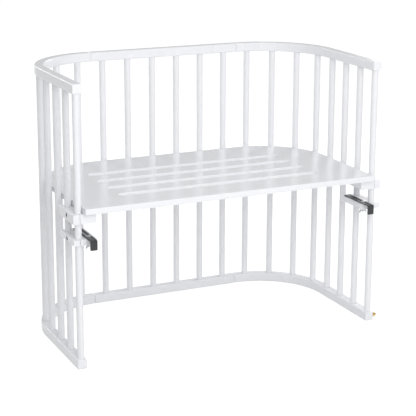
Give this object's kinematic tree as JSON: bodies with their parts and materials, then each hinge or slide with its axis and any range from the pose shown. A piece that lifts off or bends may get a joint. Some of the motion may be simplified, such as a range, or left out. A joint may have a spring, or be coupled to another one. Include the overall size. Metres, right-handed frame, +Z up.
{
  "type": "bedside crib",
  "caption": "White wooden bedside crib, open at the front: bent rails above and below on round rods, a slotted sleeping board on clamps that slide on the rods, and steel hooks for the bed.",
  "frame": {"origin": "on the floor, under the middle of the back rods' line", "axes": "+Z up, +X to the right seen from the open front, -Y towards the open front"},
  "size_m": [0.9562, 0.5487, 0.788],
  "materials": {
    "white_wood": "white lacquer, satin",
    "tenon_wood": "plain beech",
    "hook_steel": "black powder coat",
    "bolt_steel": "zinc plated",
    "stud_steel": "zinc plated",
    "nut_steel": "zinc plated, cast",
    "knob_brass": "turned brass"
  },
  "bodies": {
    "frame": {"top_rail_left": "white_wood", "top_rail_middle": "white_wood", "top_rail_right": "white_wood", "bottom_rail_left": "white_wood", "bottom_rail_middle": "white_wood", "bottom_rail_right": "white_wood", "rod_01": "white_wood", "rod_02": "white_wood", "rod_03": "white_wood", "rod_04": "white_wood", "rod_05": "white_wood", "rod_06": "white_wood", "rod_07": "white_wood", "rod_08": "white_wood", "rod_09": "white_wood", "rod_10": "white_wood", "rod_11": "white_wood", "rod_12": "white_wood", "rod_13": "white_wood", "rod_14": "white_wood", "rod_15": "white_wood", "rod_16": "white_wood", "rod_17": "white_wood", "rod_18": "white_wood", "rod_19": "white_wood", "rod_20": "white_wood", "rod_21": "white_wood", "rod_22": "white_wood", "seam_tenons": "tenon_wood", "brass_knob": "knob_brass"},
    "deck": {"sleeping_board": "white_wood", "deck_clamp_right_outer": "white_wood", "deck_clamp_right_inner": "white_wood", "deck_clamp_left_outer": "white_wood", "deck_clamp_left_inner": "white_wood", "back_clamp_right_outer": "white_wood", "back_clamp_right_inner": "white_wood", "back_clamp_left_outer": "white_wood", "back_clamp_left_inner": "white_wood", "deck_clamp_bolts": "bolt_steel"},
    "hook_clamp_right": {"hook_clamp_right_outer": "white_wood", "hook_clamp_right_inner": "white_wood", "hook_clamp_bolt_right": "bolt_steel", "hook_bolt_right": "stud_steel"},
    "hook_right": {"steel_hook_right": "hook_steel"},
    "nut_right": {"wing_nut_right": "nut_steel"},
    "hook_clamp_left": {"hook_clamp_left_outer": "white_wood", "hook_clamp_left_inner": "white_wood", "hook_clamp_bolt_left": "bolt_steel", "hook_bolt_left": "stud_steel"},
    "hook_left": {"steel_hook_left": "hook_steel"},
    "nut_left": {"wing_nut_left": "nut_steel"}
  },
  "joints": [
    {"name": "deck_height", "type": "slide", "parent": "frame", "child": "deck", "axis": [0, 0, 1], "range_m": [-0.018, 0.165]},
    {"name": "hook_height_right", "type": "slide", "parent": "frame", "child": "hook_clamp_right", "axis": [0, 0, 1], "range_m": [-0.22, 0.015]},
    {"name": "hook_reach_right", "type": "slide", "parent": "hook_clamp_right", "child": "hook_right", "axis": [0, -1, 0], "range_m": [-0.0165, 0.068]},
    {"name": "wing_nut_turn_right", "type": "hinge", "parent": "hook_clamp_right", "child": "nut_right", "pos_m": [0.42865, -0.486, 0.352], "axis": [0, 0, 1], "continuous": true},
    {"name": "hook_height_left", "type": "slide", "parent": "frame", "child": "hook_clamp_left", "axis": [0, 0, 1], "range_m": [-0.22, 0.015]},
    {"name": "hook_reach_left", "type": "slide", "parent": "hook_clamp_left", "child": "hook_left", "axis": [0, -1, 0], "range_m": [-0.0165, 0.068]},
    {"name": "wing_nut_turn_left", "type": "hinge", "parent": "hook_clamp_left", "child": "nut_left", "pos_m": [-0.42865, -0.486, 0.352], "axis": [0, 0, 1], "continuous": true}
  ]
}
